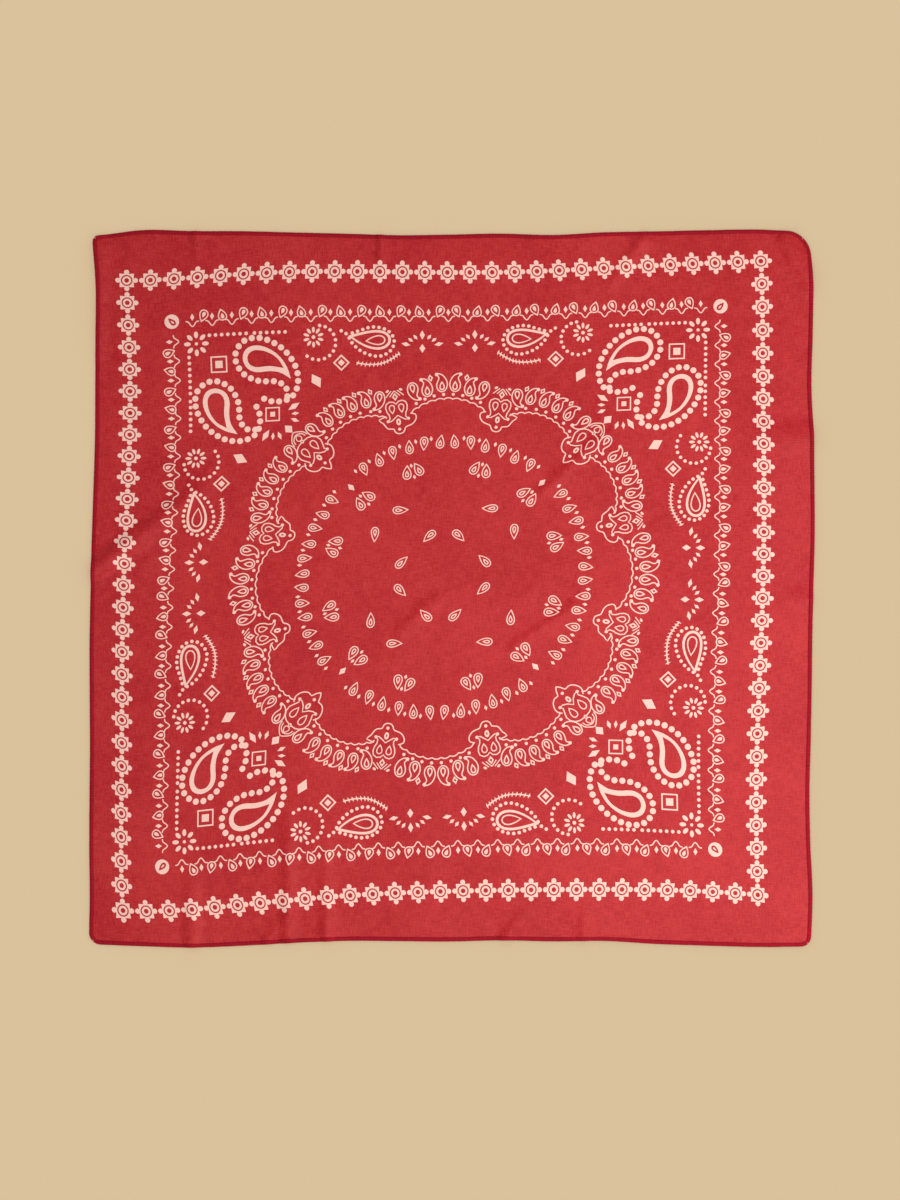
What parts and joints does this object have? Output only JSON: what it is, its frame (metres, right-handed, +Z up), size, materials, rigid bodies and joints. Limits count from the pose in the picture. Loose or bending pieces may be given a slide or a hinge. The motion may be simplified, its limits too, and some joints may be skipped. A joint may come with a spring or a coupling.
{
  "type": "bandana",
  "caption": "Square printed cotton bandana laid out flat, with rolled hems and a few soft creases.",
  "frame": {"origin": "on the surface that the cloth lies on, under the middle of its outline", "axes": "+Z up, out of the printed face; +X to the right side and +Y to the top side, seen from above"},
  "size_m": [0.5576, 0.5518, 0.0058],
  "materials": {
    "printed_cotton": "matte plain-weave cotton with a cream print",
    "hem_thread": "crimson overlocked thread, slight sheen"
  },
  "bodies": {
    "root": {"cloth_panel": "printed_cotton", "hem_top": "hem_thread", "hem_bottom": "hem_thread", "hem_left": "hem_thread", "hem_right": "hem_thread"}
  },
  "joints": []
}
